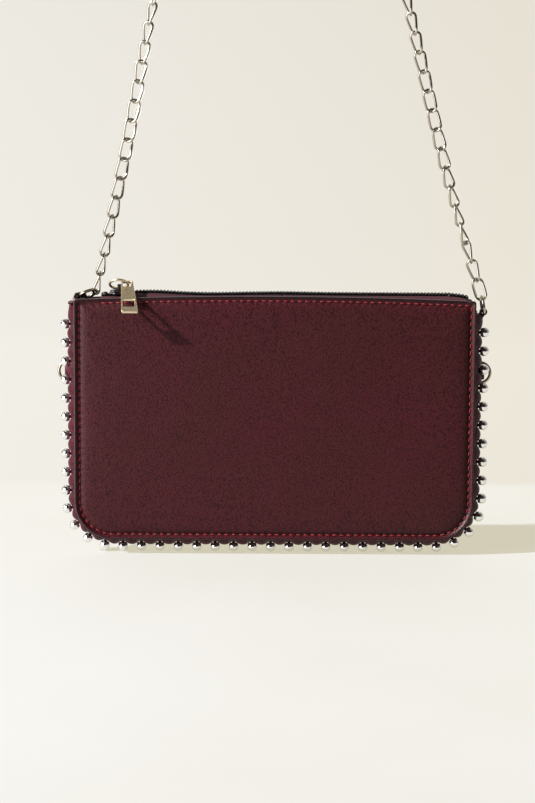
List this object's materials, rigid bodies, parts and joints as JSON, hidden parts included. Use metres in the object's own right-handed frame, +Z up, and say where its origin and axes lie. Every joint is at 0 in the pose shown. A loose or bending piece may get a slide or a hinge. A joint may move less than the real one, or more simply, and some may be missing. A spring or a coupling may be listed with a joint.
{
  "type": "chain wallet",
  "caption": "Slim zipped leather wallet with a studded gusset, D-rings and a chain strap; the zip slides and opens the mouth.",
  "frame": {"origin": "on the surface the studs stand on, below the centre of the wallet's box without its strap", "axes": "+X to the wallet's right seen from the front, -Y out of the front panel, +Z up through the zip"},
  "size_m": [0.22, 0.03, 0.3435],
  "materials": {
    "leather": "semi-gloss, fine grain",
    "board": "matte",
    "lining": "fine woven, matte",
    "studs": "polished",
    "washers": "plain",
    "zip_tape": "woven",
    "zip_coil": "satin",
    "zip_metal": "satin",
    "pull_metal": "satin, warm nickel",
    "ring_metal": "polished, warm nickel",
    "chain_metal": "polished, warm nickel"
  },
  "bodies": {
    "root": {"front_panel": "leather", "back_panel": "leather", "front_board": "board", "back_board": "board", "front_lining": "lining", "back_lining": "lining", "gusset": "leather", "gusset_lining": "lining", "studs_left": "studs", "studs_bottom": "studs", "studs_right": "studs", "stud_washers": "washers", "card_pocket_high": "lining", "card_pocket_high_seams": "lining", "card_pocket_low": "lining", "card_pocket_low_seams": "lining", "slip_pocket": "lining", "slip_pocket_seams": "lining", "zip_tape_front": "zip_tape", "zip_tape_back": "zip_tape", "zip_coil_ends_front": "zip_coil", "zip_coil_ends_back": "zip_coil", "top_stop": "zip_metal", "bottom_stop": "zip_metal", "top_loop_left": "leather", "top_loop_right": "leather", "side_loop_left": "leather", "side_loop_right": "leather", "end_cap_left": "leather", "end_cap_right": "leather"},
    "slider": {"slider_body": "zip_metal", "slider_crown": "zip_metal"},
    "pull_ring": {"pull_ring": "pull_metal"},
    "pull_tab": {"pull_tab": "pull_metal"},
    "mouth_front": {"mouth_tape_front": "zip_tape", "mouth_coil_front": "zip_coil"},
    "mouth_back": {"mouth_tape_back": "zip_tape", "mouth_coil_back": "zip_coil"},
    "top_ring_left": {"top_ring_left": "ring_metal"},
    "top_ring_right": {"top_ring_right": "ring_metal"},
    "side_ring_left": {"side_ring_left": "ring_metal"},
    "side_ring_right": {"side_ring_right": "ring_metal"},
    "strap": {"chain_strap": "chain_metal", "chain_end_link_left": "chain_metal", "chain_end_link_right": "chain_metal"}
  },
  "joints": [
    {"name": "zip_slide", "type": "slide", "parent": "root", "child": "slider", "axis": [1, 0, 0], "range_m": [0, 0.159]},
    {"name": "pull_ring_swing", "type": "hinge", "parent": "slider", "child": "pull_ring", "pos_m": [-0.078, 0.00597, 0.1339], "axis": [-1, 0, 0], "range_deg": [0, 110]},
    {"name": "pull_tab_swing", "type": "hinge", "parent": "pull_ring", "child": "pull_tab", "pos_m": [-0.07345, 0.00211, 0.13631], "axis": [-1, 0, 0], "range_deg": [0, 15]},
    {"name": "mouth_front_fold", "type": "hinge", "parent": "root", "child": "mouth_front", "pos_m": [0, -0.00113, 0.1282], "axis": [1, 0, 0], "range_deg": [0, 70]},
    {"name": "mouth_back_fold", "type": "hinge", "parent": "root", "child": "mouth_back", "pos_m": [0, 0.01307, 0.1282], "axis": [-1, 0, 0], "range_deg": [0, 70]},
    {"name": "top_ring_left_tilt", "type": "hinge", "parent": "root", "child": "top_ring_left", "pos_m": [-0.0966, 0.00597, 0.12945], "axis": [0, -1, 0], "range_deg": [-2, 4]},
    {"name": "top_ring_right_tilt", "type": "hinge", "parent": "root", "child": "top_ring_right", "pos_m": [0.1046, 0.00597, 0.1229], "axis": [0, -1, 0], "range_deg": [-3, 6]},
    {"name": "side_ring_left_swing", "type": "hinge", "parent": "root", "child": "side_ring_left", "pos_m": [-0.1043, 0.01207, 0.0915], "axis": [0, 0, -1], "range_deg": [-35, 100]},
    {"name": "side_ring_right_swing", "type": "hinge", "parent": "root", "child": "side_ring_right", "pos_m": [0.1043, 0.01207, 0.0915], "axis": [0, 0, 1], "range_deg": [-35, 100]},
    {"name": "strap_swing", "type": "hinge", "parent": "root", "child": "strap", "pos_m": [-0.09004, 0.00597, 0.13086], "axis": [0.9999, 0, -0.0107], "range_deg": [-40, 40]}
  ]
}
